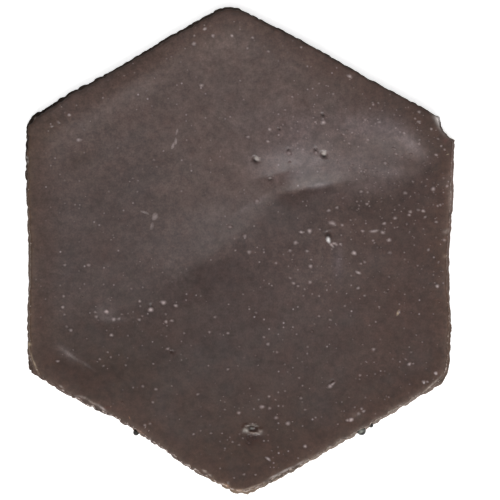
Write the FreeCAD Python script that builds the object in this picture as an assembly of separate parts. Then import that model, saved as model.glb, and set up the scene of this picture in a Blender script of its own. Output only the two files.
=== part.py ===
# Hexagon floor tile, cut by hand from a slab of clay and glazed on its face.
# One fired piece: a flat bed below, walls that lean in a little as they rise, and a face that
# is not flat but sags and swells a little, and curls up towards its edges. The glaze rounds the
# rim, stands up in a burst blister, and hangs in beads on the lower walls. One corner is knocked off.
# The frame has +Z up through the face, +Y towards one corner and +X across two flats.
# The origin is on the bed, in the middle of the tile's outline. All sizes are in millimetres.

import FreeCAD
import Part

import math
import os

# The nominal tile
ACROSS_FLATS = 150.0
THICKNESS = 14.0
RIM_ROUND = 0.8
BED_CHAMFER = 0.6

# The six corners, anticlockwise from the upper right one. Each has its direction from the
# middle in degrees, its drift (x, y) from the corner of a true hexagon, and the radius of its
# rounding at the bed and at the face.
CORNERS = [
    ("upper_right", 30, (1.2, 0.3), 7.0, 7.0),
    ("top", 90, (-3.5, 0.4), 10.0, 11.0),
    ("upper_left", 150, (-0.1, 2.9), 5.5, 9.0),
    ("lower_left", 210, (0.6, 0.7), 4.0, 14.0),
    ("bottom", 270, (1.7, -1.3), 10.0, 11.0),
    ("lower_right", 330, (-0.9, -2.7), 9.0, 11.0),
]

# The six sides, each from the corner of the same place in the list above to the next one.
# Each has how far the wall leans in from bed to face, and how far the hand-cut line strays
# outwards at four stations along it.
SIDES = [
    ("upper_right", 0.5, (0.2, 0.1, 0.6, 0.3)),
    ("upper_left", 1.0, (0.1, 0.0, -0.2, 0.3)),
    ("left", 0.6, (0.3, -0.2, -0.5, 0.1)),
    ("lower_left", 0.3, (0.3, -0.9, -0.4, 0.5)),
    ("lower_right", 0.9, (0.3, 0.4, 0.4, 0.1)),
    ("right", 0.8, (0.4, -0.8, -0.4, 0.0)),
]
STATIONS = (0.125, 0.375, 0.625, 0.875)

# The face curls up by this much from its middle to its corners.
CURL = 0.45

# Sags and swells of the face: middle (x, y), height, half length, half width, direction in degrees
SWELLS = [
    ((15.0, 8.0), -0.40, 45.0, 12.0, 27),
    ((18.0, 37.0), 0.28, 13.0, 8.0, 10),
    ((54.0, 41.0), 0.18, 14.0, 7.0, -12),
]
SWELL_PITCH = 8.0

# The corner that was knocked off: a dished break down the whole wall, as a tall egg that bites
# deepest at the face. The break comes from this direction, in degrees, and its depth is from the
# sharp corner at the bed.
CHIP_CORNER = "upper_right"
CHIP_DIRECTION = 43.0
CHIP_RADIUS = 9.0
CHIP_HALF_HEIGHT = 30.0
CHIP_DEPTH = 5.2

# The burst blister in the glaze: an oval ring with a crater in it
BLISTER_AT = (4.6, -63.0)
BLISTER_LENGTH = 6.2
BLISTER_WIDTH = 3.4
BLISTER_RISE = 0.35
BLISTER_LIP = 0.8
BLISTER_DEPTH = 0.6

# Beads of glaze that ran down and set on the walls: side, share of the way along it, radius,
# how far it stands out of the wall, and depth of the middle below the face
BEADS = [
    ("lower_left", 0.50, 1.1, 1.2, 5.0),
    ("lower_right", 0.585, 1.6, 1.5, 4.0),
    ("lower_right", 0.64, 0.8, 0.8, 3.0),
]


def corner_reach():
    """Distance from the middle of a true hexagon of the nominal size to its corners."""
    return ACROSS_FLATS / math.sqrt(3)


def heading(degrees):
    """Level direction of length one."""
    angle = math.radians(degrees)
    return FreeCAD.Vector(math.cos(angle), math.sin(angle), 0)


def hand_cut_corners():
    """Sharp corners of the outline at the bed, where the lines of the sides meet."""
    reach = corner_reach()
    return [heading(degrees) * reach + FreeCAD.Vector(*drift, 0) for _, degrees, drift, _, _ in CORNERS]


def side_frame(corners, number):
    """Start, end, direction along and outward direction of a side."""
    start = corners[number]
    end = corners[(number + 1) % len(corners)]
    along = (end - start).normalize()
    outward = FreeCAD.Vector(along.y, -along.x, 0)
    return start, end, along, outward


def leaned_corners(rise):
    """Sharp corners at a share of the rise from bed to face, where the leaning walls meet."""
    corners = hand_cut_corners()
    leaned = []
    for number in range(len(corners)):
        start, _, along, outward = side_frame(corners, number)
        _, _, last_along, last_outward = side_frame(corners, number - 1)
        lean = SIDES[number][1] * rise
        last_lean = SIDES[number - 1][1] * rise
        # Both side lines move in by their own lean, and the corner is where they cross.
        turn = last_along.cross(along).z
        slide_back = (last_lean * last_outward.dot(outward) - lean) / turn
        leaned.append(start - last_outward * last_lean + last_along * slide_back)
    return leaned


def outline(rise):
    """Closed wire of the outline at a share of the rise: wandering sides joined by round corners."""
    corners = leaned_corners(rise)
    height = FreeCAD.Vector(0, 0, THICKNESS * rise)
    edges = []
    for number in range(len(corners)):
        start, _, along, _ = side_frame(corners, number)
        _, _, last_along, _ = side_frame(corners, number - 1)
        edges.append(corner_arc(number, rise, start, last_along, along, height))
    for number in range(len(corners)):
        start = edges[number].Vertexes[-1].Point
        end = edges[(number + 1) % len(corners)].Vertexes[0].Point
        edges.append(wandering_side(number, start, end))
    joined = []
    for number in range(len(corners)):
        joined.append(edges[number])
        joined.append(edges[number + len(corners)])
    return Part.Wire(joined)


def corner_arc(number, rise, corner, last_along, along, height):
    """Round corner, tangent to the straight lines of the two sides that meet there."""
    _, _, _, bed_radius, face_radius = CORNERS[number]
    radius = bed_radius + (face_radius - bed_radius) * rise
    half_turn = last_along.getAngle(along) / 2
    reach = radius * math.tan(half_turn)
    start = corner - last_along * reach
    end = corner + along * reach
    inward = (along - last_along).normalize()
    middle = corner + inward * (radius / math.cos(half_turn) - radius)
    return Part.Arc(start + height, middle + height, end + height).toShape()


def wandering_side(number, start, end):
    """Side as a smooth curve that leaves both corners straight and strays in between."""
    along = (end - start).normalize()
    outward = FreeCAD.Vector(along.y, -along.x, 0)
    points = [start]
    for station, stray in zip(STATIONS, SIDES[number][2]):
        points.append(start + (end - start) * station + outward * stray)
    points.append(end)
    curve = Part.BSplineCurve()
    curve.interpolate(Points=points, InitialTangent=along, FinalTangent=along)
    return curve.toShape()


def face_height(x, y):
    """Height of the glazed face: the thickness, the curl with the fourth power of the distance from
    the middle, and each swell as a stretched bell."""
    height = THICKNESS + CURL * (math.hypot(x, y) / corner_reach()) ** 4
    for (middle_x, middle_y), rise, half_length, half_width, direction in SWELLS:
        angle = math.radians(direction)
        across_x = x - middle_x
        across_y = y - middle_y
        length_way = across_x * math.cos(angle) + across_y * math.sin(angle)
        width_way = across_y * math.cos(angle) - across_x * math.sin(angle)
        height += rise * math.exp(-((length_way / half_length) ** 2) - (width_way / half_width) ** 2)
    return height


def headroom():
    """How far above the nominal face the walls are drawn, so that the curl and every swell cut them."""
    return RIM_ROUND + CURL + sum(abs(swell[1]) for swell in SWELLS)


def space_above_face():
    """Solid of all that lies above the rolling face, to be cut from the walls."""
    steps = math.ceil(corner_reach() / SWELL_PITCH) + 1
    places = [step * SWELL_PITCH for step in range(-steps, steps + 1)]
    grid = [[FreeCAD.Vector(x, y, face_height(x, y)) for y in places] for x in places]
    surface = Part.BSplineSurface()
    surface.interpolate(grid)
    return surface.toShape().extrude(FreeCAD.Vector(0, 0, 2 * headroom()))


def clay_body():
    """Tile with leaning walls, rolling face, rounded rim and a small chamfer round the bed."""
    top_rise = 1 + headroom() / THICKNESS
    walls = Part.makeLoft([outline(0), outline(top_rise)], True, True)
    body = walls.cut(space_above_face())
    face = max(body.Faces, key=lambda each: each.CenterOfMass.z)
    body = body.makeFillet(RIM_ROUND, face.OuterWire.Edges)
    bed = min(body.Faces, key=lambda each: each.CenterOfMass.z)
    return body.makeChamfer(BED_CHAMFER, bed.OuterWire.Edges)


def stretched_ball(middle, length, width, depth):
    """Ball stretched to an oval: its full length along X, full width along Y, full depth along Z."""
    place = FreeCAD.Matrix()
    place.scale(length, width, depth)
    place.move(middle)
    return Part.makeSphere(0.5).transformGeometry(place)


def corner_break():
    """Egg on end that bites the knocked-off corner, with its widest part level with the face."""
    names = [corner[0] for corner in CORNERS]
    corner = hand_cut_corners()[names.index(CHIP_CORNER)]
    middle = corner + heading(CHIP_DIRECTION) * (CHIP_RADIUS - CHIP_DEPTH)
    middle.z = THICKNESS
    return stretched_ball(middle, 2 * CHIP_RADIUS, 2 * CHIP_RADIUS, 2 * CHIP_HALF_HEIGHT)


def blister():
    """Lip of the burst blister, and the crater inside it."""
    x, y = BLISTER_AT
    middle = FreeCAD.Vector(x, y, face_height(x, y))
    lip = stretched_ball(middle, BLISTER_LENGTH, BLISTER_WIDTH, 2 * BLISTER_RISE)
    crater_length = BLISTER_LENGTH - 2 * BLISTER_LIP
    crater_width = BLISTER_WIDTH - 2 * BLISTER_LIP
    crater = stretched_ball(middle, crater_length, crater_width, 2 * BLISTER_DEPTH)
    return lip, crater


def bead(side, share, radius, stand_out, depth):
    """Bead of set glaze: a half ball on a round stem that is rooted its own radius deep in the wall."""
    names = [each[0] for each in SIDES]
    number = names.index(side)
    rise = 1 - depth / THICKNESS
    wall = outline(rise).Edges[2 * number + 1]
    foot = wall.valueAt(wall.getParameterByLength(wall.Length * share))
    _, _, along, outward = side_frame(leaned_corners(rise), number)
    root = foot - outward * radius
    tip = foot + outward * stand_out
    middle = tip - outward * radius
    rim = middle + along * radius
    waist = middle + (along + outward).normalize() * radius
    stem = Part.makePolygon([tip, root, root + along * radius, rim])
    dome = Part.Arc(rim, waist, tip).toShape()
    return Part.Face(Part.Wire(stem.Edges + [dome])).revolve(foot, outward, 360)


def tile():
    """The whole tile, moved so that the middle of its outline is over the origin."""
    lip, crater = blister()
    solid = clay_body().cut(corner_break())
    solid = solid.fuse([lip] + [bead(*each) for each in BEADS]).cut(crater)
    middle = solid.optimalBoundingBox(False, False).Center
    solid.translate(FreeCAD.Vector(-middle.x, -middle.y, 0))
    return solid


os.makedirs("parts", exist_ok=True)
tile().exportStep("parts/tile.step")
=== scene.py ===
import math

import bpy
import numpy as np
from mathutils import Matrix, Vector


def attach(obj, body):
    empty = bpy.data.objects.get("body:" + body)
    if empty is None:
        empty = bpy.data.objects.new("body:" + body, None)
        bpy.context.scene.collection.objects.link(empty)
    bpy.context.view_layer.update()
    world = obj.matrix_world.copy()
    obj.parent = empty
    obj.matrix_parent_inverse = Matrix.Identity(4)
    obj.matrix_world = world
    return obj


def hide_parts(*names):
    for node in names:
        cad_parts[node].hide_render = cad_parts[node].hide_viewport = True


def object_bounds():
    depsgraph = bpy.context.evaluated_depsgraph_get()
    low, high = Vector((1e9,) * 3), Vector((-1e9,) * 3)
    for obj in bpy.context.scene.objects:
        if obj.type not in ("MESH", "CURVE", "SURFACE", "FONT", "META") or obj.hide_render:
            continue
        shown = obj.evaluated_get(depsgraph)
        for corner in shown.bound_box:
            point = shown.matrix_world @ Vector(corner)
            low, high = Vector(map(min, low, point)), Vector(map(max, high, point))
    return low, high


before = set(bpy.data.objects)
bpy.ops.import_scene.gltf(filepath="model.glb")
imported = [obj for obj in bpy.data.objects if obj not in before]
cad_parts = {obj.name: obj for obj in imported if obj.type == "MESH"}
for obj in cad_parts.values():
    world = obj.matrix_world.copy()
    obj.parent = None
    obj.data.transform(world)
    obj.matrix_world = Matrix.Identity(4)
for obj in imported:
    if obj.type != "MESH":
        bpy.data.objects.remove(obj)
cad_box = [list(corner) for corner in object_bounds()]

# The slab. Soft clay is rolled flat and cut into a hexagon by hand, so each corner has drifted
# from its true place and has its own rounding, and each side strays from a straight line.
# The lists are those of the solid: all sizes in this file are in millimetres until they are meshed.
MM = 0.001
ACROSS_FLATS = 150.0
THICKNESS = 14.0
CORNERS = [
    ("upper_right", 30, (1.2, 0.3), 7.0, 7.0),
    ("top", 90, (-3.5, 0.4), 10.0, 11.0),
    ("upper_left", 150, (-0.1, 2.9), 5.5, 9.0),
    ("lower_left", 210, (0.6, 0.7), 4.0, 14.0),
    ("bottom", 270, (1.7, -1.3), 10.0, 11.0),
    ("lower_right", 330, (-0.9, -2.7), 9.0, 11.0),
]
SIDES = [
    ("upper_right", 0.5, (0.2, 0.1, 0.6, 0.3)),
    ("upper_left", 1.0, (0.1, 0.0, -0.2, 0.3)),
    ("left", 0.6, (0.3, -0.2, -0.5, 0.1)),
    ("lower_left", 0.3, (0.3, -0.9, -0.4, 0.5)),
    ("lower_right", 0.9, (0.3, 0.4, 0.4, 0.1)),
    ("right", 0.8, (0.4, -0.8, -0.4, 0.0)),
]
STATIONS = (0.125, 0.375, 0.625, 0.875)
RINGS = 132
WALL_STEPS = 2 * RINGS
FINE = 60

reach = ACROSS_FLATS / math.sqrt(3)
directions = np.radians([corner[1] for corner in CORNERS])
drifts = np.array([corner[2] for corner in CORNERS])
bed_corners = reach * np.stack([np.cos(directions), np.sin(directions)], axis=1) + drifts


def side_lines(corners):
    """Unit vectors along each side, from its corner to the next, and outwards from it."""
    along = np.roll(corners, -1, axis=0) - corners
    along /= np.linalg.norm(along, axis=1, keepdims=True)
    return along, np.stack([along[:, 1], -along[:, 0]], axis=1)


def leaned_corners(rise):
    """Sharp corners at a share of the rise: where the side lines cross once each has leaned in."""
    along, outward = side_lines(bed_corners)
    lean = np.array([side[1] for side in SIDES]) * rise
    last_along, last_outward, last_lean = (np.roll(each, 1, axis=0) for each in (along, outward, lean))
    turn = last_along[:, 0] * along[:, 1] - last_along[:, 1] * along[:, 0]
    slide = (last_lean * (last_outward * outward).sum(axis=1) - lean) / turn
    return bed_corners - last_outward * last_lean[:, None] + last_along * slide[:, None]


def stray(strays, share):
    """Cubic spline through the strays at their stations, nought and level at both ends of the side."""
    knots = np.array((0.0, *STATIONS, 1.0))
    values = np.array((0.0, *strays, 0.0))
    gaps = np.diff(knots)
    rises = np.diff(values) / gaps
    # The slopes at the knots make the second derivative run on through each one.
    system = np.eye(len(knots))
    right = np.zeros(len(knots))
    for knot in range(1, len(knots) - 1):
        system[knot, knot - 1:knot + 2] = gaps[knot], 2 * (gaps[knot - 1] + gaps[knot]), gaps[knot - 1]
        right[knot] = 3 * (gaps[knot] * rises[knot - 1] + gaps[knot - 1] * rises[knot])
    slopes = np.linalg.solve(system, right)
    span = np.clip(np.searchsorted(knots, share) - 1, 0, len(gaps) - 1)
    part = (share - knots[span]) / gaps[span]
    leaving = (slopes[span] - rises[span]) * (1 - part)
    arriving = (rises[span] - slopes[span + 1]) * part
    return values[span] + gaps[span] * part * (rises[span] + (1 - part) * (leaving + arriving))


def sides_at(rise):
    """The sides at a share of the rise: where each starts and ends between its round corners, the
    unit vectors along it and outwards, and the radius and half the turn of its first corner."""
    corners = leaned_corners(rise)
    along, outward = side_lines(corners)
    radii = np.array([bed + (face - bed) * rise for _, _, _, bed, face in CORNERS])
    half_turns = np.arccos((np.roll(along, 1, axis=0) * along).sum(axis=1)) / 2
    tangents = (radii * np.tan(half_turns))[:, None]
    starts = corners + along * tangents
    ends = np.roll(corners - np.roll(along, 1, axis=0) * tangents, -1, axis=0)
    return starts, ends, along, outward, radii, half_turns


def outline(rise):
    """Closed outline at a share of the rise, with equal steps from the middle of each corner to the
    middle of the next: half a corner's arc, the straying side, half the next corner's arc."""
    starts, ends, along, outward, radii, half_turns = sides_at(rise)
    share = np.linspace(0, 1, FINE)
    points = []
    for number in range(len(CORNERS)):
        after = (number + 1) % len(CORNERS)
        side = starts[number] + (ends[number] - starts[number]) * share[:, None]
        side += outward[number] * stray(SIDES[number][2], share)[:, None]
        back = half_turns[number] * (1 - share[:-1])[:, None]
        ahead = half_turns[after] * share[1:][:, None]
        back_off = np.sin(back) * along[number] + (1 - np.cos(back)) * outward[number]
        run_on = np.sin(ahead) * along[number] - (1 - np.cos(ahead)) * outward[number]
        first_arc = starts[number] - radii[number] * back_off
        last_arc = ends[number] + radii[after] * run_on
        run = np.concatenate([first_arc, side, last_arc])
        length = np.concatenate([[0], np.cumsum(np.linalg.norm(np.diff(run, axis=0), axis=1))])
        steps = np.arange(WALL_STEPS) / WALL_STEPS * length[-1]
        points.append(np.column_stack([np.interp(steps, length, axis) for axis in run.T]))
    return np.concatenate(points)


bed_outline = outline(0)
face_outline = outline(1)
middle = (bed_outline.min(axis=0) + bed_outline.max(axis=0)) / 2
bed_outline -= middle
face_outline -= middle


def waves(points, shortest, longest, seed, count=48):
    """Smooth random relief, about 1 high: a sum of cosine waves with random directions and phases,
    and with lengths between the shortest and the longest."""
    random = np.random.default_rng(seed)
    headings = random.normal(size=(count, points.shape[1]))
    headings *= 2 * np.pi / np.linalg.norm(headings, axis=1, keepdims=True)
    headings /= random.uniform(shortest, longest, count)[:, None]
    phases = random.uniform(0, 2 * np.pi, count)
    return np.cos(points @ headings.T + phases).sum(axis=1) * math.sqrt(2 / count)


def smooth(value, low, high):
    """Step from 0 at low to 1 at high, level at both ends."""
    part = np.clip((value - low) / (high - low), 0, 1)
    return part * part * (3 - 2 * part)


def drawn_in(loop, inset):
    """A closed anticlockwise loop of plan points moved inwards at right angles to itself, by one
    distance or by one for each point."""
    tangent = np.roll(loop, -1, axis=0) - np.roll(loop, 1, axis=0)
    normal = np.stack([tangent[:, 1], -tangent[:, 0]], axis=1)
    normal /= np.linalg.norm(normal, axis=1, keepdims=True)
    return loop - normal * np.reshape(inset, (-1, 1))


def degrees_of(points):
    """Directions of plan points from the middle."""
    return np.degrees(np.arctan2(points[:, 1], points[:, 0]))


def unit(degrees):
    """Unit vector of a direction in the plan."""
    return np.array((math.cos(math.radians(degrees)), math.sin(math.radians(degrees))))


# The cut walls. They lean in a little as they rise, and the cutter left them lumpy: rounded bumps
# with sharp notches between them, as columns that run down the wall. The glaze rounds the rim and
# runs part of the way down. The upper right corner is knocked off.
CHIP_DIRECTION = 43.0
CHIP_RADIUS = 9.0
CHIP_HALF_HEIGHT = 30.0
CHIP_DEPTH = 5.2
CHIP_EDGE = 0.15
CHIP_SOFTENING = 7
BED_CHAMFER = 0.6
LUMP_LENGTHS = (2.5, 9.0)
LUMP_TOP = 1.5
COLUMN_STRETCH = 0.25
ROUGH = 0.08
ROUGH_LENGTHS = (0.8, 2.4)

# Round the tile by direction in degrees: radius of the rim, depth of the notches, how much of the
# rim is worn bare, how high above the bed the glaze ends, colour of the wall, and colour that the
# face takes on next to the rim. Both colours are the glaze's and the clay's own, with painted light:
# darker on the upper sides, which face away from the key lamp, and lighter on the lower and right
# sides, which catch its light and a reflection of the white floor.
AROUND = [
    (0, 0.8, 0.25, 0.34, 2.0, "#85726A", "#5C473C"),
    (12, 0.8, 0.25, 0.38, 2.0, "#8F7A72", "#6A5246"),
    (20, 0.8, 0.25, 0.38, 2.0, "#8F7A72", "#5A443A"),
    (34, 0.5, 0.20, 0.10, 0.0, "#5A4A44", "#3A2D28"),
    (60, 0.5, 0.22, 0.10, 0.0, "#4A3E39", "#3A2D28"),
    (90, 0.7, 0.22, 0.10, 0.0, "#453A35", "#3A2D28"),
    (130, 0.8, 0.25, 0.10, 0.0, "#483D38", "#3E322D"),
    (145, 0.9, 0.50, 0.10, 0.0, "#2C2421", "#352A26"),
    (154, 0.8, 0.45, 0.20, 1.0, "#40352F", "#4E3C2E"),
    (175, 0.9, 0.25, 0.32, 2.0, "#7A6A60", "#544236"),
    (203, 0.9, 0.25, 0.32, 2.0, "#7A6A60", "#544236"),
    (211, 0.8, 0.30, 0.35, 1.0, "#6E5C54", "#5A463C"),
    (222, 0.8, 0.50, 0.45, 4.0, "#84766F", "#5A483F"),
    (255, 0.7, 0.50, 0.45, 4.0, "#84766F", "#5A483F"),
    (268, 0.7, 0.45, 0.55, 3.0, "#94806F", "#604838"),
    (285, 0.6, 0.40, 0.42, 2.5, "#A29488", "#624E42"),
    (320, 0.6, 0.38, 0.38, 2.0, "#9E9086", "#5C4A40"),
    (331, 0.7, 0.30, 0.45, 1.0, "#7E6A5F", "#5C4A40"),
    (345, 0.8, 0.25, 0.32, 2.0, "#7E6A5F", "#58453A"),
]
RIM, NOTCH, WORN, GLAZE_END, WALL_COLOUR_AND_LIGHT, EDGE_COLOUR_AND_LIGHT = range(1, 7)

chip_axis = unit(CHIP_DIRECTION)
chip_middle = bed_corners[0] + chip_axis * (CHIP_RADIUS - CHIP_DEPTH) - middle


def around(points, values):
    """One value for each entry of the table above, taken at the directions of the points, straight
    between the entries."""
    return np.interp(degrees_of(points), [entry[0] for entry in AROUND], values, period=360)


def column(points, number):
    """A column of numbers of the table at the directions of the points."""
    return around(points, [entry[number] for entry in AROUND])


def notches(points, heights):
    """How far the wall lies inside its clean line: bumps that are the size of a wave, cut off at
    their top, with waves that are long down the wall, and a fine roughness."""
    columns = waves(np.column_stack([points, heights * COLUMN_STRETCH]), *LUMP_LENGTHS, seed=2)
    rough = waves(np.column_stack([points, heights]), *ROUGH_LENGTHS, seed=7)
    depth = column(points, NOTCH) * (LUMP_TOP - np.minimum(np.abs(columns), LUMP_TOP))
    return depth + ROUGH * np.abs(rough)


def wall_outline(height):
    """Outline of the walls at a height: straight between the outlines of the bed and the face, pushed
    back along the corner's direction where the egg-shaped bite took the corner off, and notched.
    Also says how far the bite has pushed each point."""
    loop = bed_outline + (face_outline - bed_outline) * height / THICKNESS
    radius = CHIP_RADIUS * math.sqrt(1 - ((height - THICKNESS) / CHIP_HALF_HEIGHT) ** 2)
    offset = loop - chip_middle
    inside = (offset ** 2).sum(axis=1) < radius ** 2
    ahead = offset @ chip_axis
    room = np.maximum(ahead ** 2 - (offset ** 2).sum(axis=1) + radius ** 2, 0)
    push = (ahead + np.sqrt(room)) * inside
    window = np.hanning(CHIP_SOFTENING + 2)
    soft = np.convolve(np.roll(push, WALL_STEPS), window / window.sum(), "same")
    push = np.roll(soft, -WALL_STEPS)
    loop = loop - chip_axis * push[:, None]
    return drawn_in(loop, notches(loop, np.full(len(loop), height))), push


# The glazed face. The slab was never quite flat: its edges curl up and it sags in low swells, and
# the glaze lies on it with soft folds where it was poured twice. A few bubbles burst in it and
# left craters. Places are read from the photo, in its pixels.
CURL = 0.45
SWELLS = [
    ((15.0, 8.0), -0.40, 45.0, 12.0, 27),
    ((18.0, 37.0), 0.28, 13.0, 8.0, 10),
    ((54.0, 41.0), 0.18, 14.0, 7.0, -12),
    ((-40.0, 57.0), 0.10, 32.0, 4.0, 33),
]
PHOTO_MIDDLE = np.array((238.91, 249.55))
PIXEL = 0.351

# Folds: place in the photo, direction in degrees, half length, height, width of the far side
# (towards +Y) and of the near side
FOLDS = [
    ((313, 188.5), 8.5, 12.0, -0.32, 9.0, 3.5),
    ((380, 180), 0, 14.0, -0.08, 12.0, 12.0),
    ((274, 176), 14, 6.0, -0.18, 6.0, 2.0),
    ((198, 266), 38, 17.0, -0.10, 14.0, 6.0),
]
FOLD_CREST = 0.4

# Craters and pinholes: place in the photo, direction, half length, half width, height of the lip,
# depth, and how pale the painted highlight on the wall of the far side is. The first is the big
# blister.
CRATERS = [
    ((252, 428.7), -9, 3.0, 1.4, 0.28, 0.6, 0.0),
    ((324, 155), 0, 1.6, 1.4, 0.03, 0.5, 0.7),
    ((256, 160), -38, 1.9, 1.3, 0.03, 0.45, 0.8),
    ((270, 179), 0, 1.0, 0.8, 0.02, 0.25, 0.3),
    ((328.5, 234.7), 0, 1.6, 1.1, 0.0, 0.5, 0.0),
    ((279.5, 129.5), 0, 0.7, 0.6, 0.0, 0.3, 0.0),
    ((323, 115.5), 0, 0.8, 0.7, 0.0, 0.3, 0.0),
    ((288.5, 149.5), 0, 0.6, 0.5, 0.0, 0.2, 0.0),
    ((315.5, 150), 0, 0.7, 0.6, 0.0, 0.3, 0.0),
    ((151, 306), 0, 0.9, 0.6, 0.0, 0.25, 0.0),
    ((172, 352), 0, 0.7, 0.5, 0.0, 0.25, 0.0),
    ((333, 381.5), 0, 0.7, 0.5, 0.0, 0.2, 0.0),
]
CRATER_CREST = 0.85
CRATER_LIP = 0.2
CRATER_SLOPE = (0.25, 0.72)
PEEL = 0.002
PEEL_LENGTHS = (2.0, 6.0)
ROLL = 0.015
ROLL_LENGTHS = (9.0, 26.0)
GATHER = 0.35
RIM_CROWDING = 0.35


def from_photo(place):
    """A place in the photo's pixels as millimetres from the middle of the tile."""
    return (np.array(place) - PHOTO_MIDDLE) * (PIXEL, -PIXEL) - middle


def turned(points, place, degrees):
    """Distances of the points from a place: along a direction, and to the left of it."""
    heading = unit(degrees)
    offset = points - place
    return offset @ heading, offset @ (-heading[1], heading[0])


def bell(points, place, degrees, half_length, half_width):
    """A stretched bell: 1 at the place, and 1/e where its half length or half width ends."""
    along, across = turned(points, place, degrees)
    return np.exp(-((along / half_length) ** 2) - (across / half_width) ** 2)


def rolling_height(points):
    """Height of the face at plan points: the thickness, an edge that curls up with the fourth power
    of the distance from the middle, each swell as a stretched bell, and each fold as a crease that
    fades exponentially to both sides and ends softly. Random waves die out towards the corners."""
    outwards = (np.linalg.norm(points + middle, axis=1) / reach) ** 4
    height = THICKNESS + CURL * outwards
    for place, rise, half_length, half_width, degrees in SWELLS:
        height += rise * bell(points, np.array(place) - middle, degrees, half_length, half_width)
    for place, degrees, half_length, rise, far, near in FOLDS:
        along, across = turned(points, from_photo(place), degrees)
        falloff = np.hypot(across, FOLD_CREST) / np.where(across > 0, far, near)
        height += rise * np.exp(-falloff - (along / half_length) ** 4)
    rippled = ROLL * waves(points, *ROLL_LENGTHS, seed=3) + PEEL * waves(points, *PEEL_LENGTHS, seed=1)
    return height + (1 - outwards) * rippled


def crater_height(points):
    """A lip that is a bell across an oval ring, less a pit with sloping sides inside it."""
    height = np.zeros(len(points))
    for place, degrees, half_length, half_width, lip, depth, _ in CRATERS:
        along, across = turned(points, from_photo(place), degrees)
        span = np.hypot(along / half_length, across / half_width)
        height += lip * np.exp(-(((span - CRATER_CREST) / CRATER_LIP) ** 2))
        height -= depth * (1 - smooth(span, *CRATER_SLOPE))
    return height


def lattice(loop, rings, crowding=0.0):
    """Plan points of a triangle lattice that fills a loop: ring k is the loop shrunk, with six times
    k points. Crowding draws the rings towards the loop. The middle point comes first."""
    count = len(loop)
    rows = [np.zeros((1, 2))]
    for ring in range(1, rings + 1):
        at = np.arange(6 * ring) / (6 * ring) * count
        whole = at.astype(int)
        part = (at - whole)[:, None]
        row = loop[whole % count] * (1 - part) + loop[(whole + 1) % count] * part
        size = ring / rings
        rows.append(row * size * (1 + crowding * (1 - size)))
    return np.concatenate(rows)


def lattice_triangles(rings):
    """Triangles of the lattice, anticlockwise: between two rings, each outer step has a triangle
    on the inner ring's point, and each inner step has one on the outer ring's point."""
    triangles = []
    for ring in range(1, rings + 1):
        outer_start = 1 + 3 * ring * (ring - 1)
        inner_start = 1 + 3 * (ring - 1) * (ring - 2) if ring > 1 else 0
        sector, step = np.divmod(np.arange(6 * ring), ring)
        outer = outer_start + np.arange(6 * ring)
        outer_next = outer_start + (np.arange(6 * ring) + 1) % (6 * ring)
        inner_count = max(6 * (ring - 1), 1)
        inner = inner_start + (sector * (ring - 1) + step) % inner_count
        triangles.append(np.stack([inner, outer, outer_next], axis=1))
        between = step < ring - 1
        inner_next = inner_start + (sector * (ring - 1) + step + 1) % inner_count
        triangles.append(np.stack([inner, outer_next, inner_next], axis=1)[between])
    return np.concatenate(triangles)


def gathered(points):
    """Plan points drawn in towards each crater, so that the mesh is finest there. The pull ends a
    millimetre beyond twice the crater's half length."""
    for place, _, half_length, _, _, _, _ in CRATERS:
        centre = from_photo(place)
        offset = points - centre
        part = np.linalg.norm(offset, axis=1) / (2 * half_length + 1)
        pull = GATHER + (1 - GATHER) * smooth(part, 0, 1)
        points = centre + offset * pull[:, None]
    return points


RIM_ROWS = 7
WALL_ROWS = 12
top_loop, push = wall_outline(THICKNESS)
chipped = smooth(push, 0, 1)
inset = column(top_loop, RIM) * (1 - chipped) + CHIP_EDGE * chipped
rim_loop = drawn_in(top_loop, inset)
face_plan = gathered(lattice(rim_loop[::2], RINGS, RIM_CROWDING))
face_points = np.column_stack([face_plan, rolling_height(face_plan) + crater_height(face_plan)])

rim_height = rolling_height(rim_loop)
rows = []
for turn in np.linspace(0, math.pi / 2, RIM_ROWS + 1)[1:]:
    rim_row = drawn_in(top_loop, inset * (1 - math.sin(turn)))
    rows.append(np.column_stack([rim_row, rim_height - inset * (1 - math.cos(turn))]))
wall_top = rim_height - inset
for share in np.linspace(0, 1, WALL_ROWS + 1)[1:]:
    level, _ = wall_outline(THICKNESS - (THICKNESS - BED_CHAMFER) * share)
    rows.append(np.column_stack([level, wall_top + (BED_CHAMFER - wall_top) * share]))
bed_loop, _ = wall_outline(0)
for inward in (BED_CHAMFER / 2, BED_CHAMFER):
    height = np.full(len(bed_loop), BED_CHAMFER - inward)
    rows.append(np.column_stack([drawn_in(bed_loop, inward), height]))

# The bed. The back of the tile is bare clay, flat where it lay on the board. Its outer ring lies
# half a ring of the face inside the foot of the chamfer.
BED_RINGS = RINGS // 4
SEAM = 8
bed_edge = rows[-1][:, :2] * (1 - 0.5 / RINGS)
bed_plan = lattice(bed_edge, BED_RINGS)
bed_points = np.column_stack([bed_plan, np.zeros(len(bed_plan))])

points = np.concatenate([face_points, *rows, bed_points])
round_count = len(rim_loop)
row_start = len(face_points)
bed_start = len(points) - len(bed_points)


def band(first, second, count):
    """Triangles between two closed rows of as many points each, which start at these points:
    anticlockwise where the second row lies round the first one."""
    here = np.arange(count)
    following = (here + 1) % count
    return np.concatenate([
        np.stack([first + here, second + here, second + following], axis=1),
        np.stack([first + here, second + following, first + following], axis=1),
    ])


def fan(hub, start, count):
    """Triangles between a point and the closed row round it, anticlockwise."""
    here = np.arange(count)
    return np.stack([np.full(count, hub), start + here, start + (here + 1) % count], axis=1)


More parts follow.
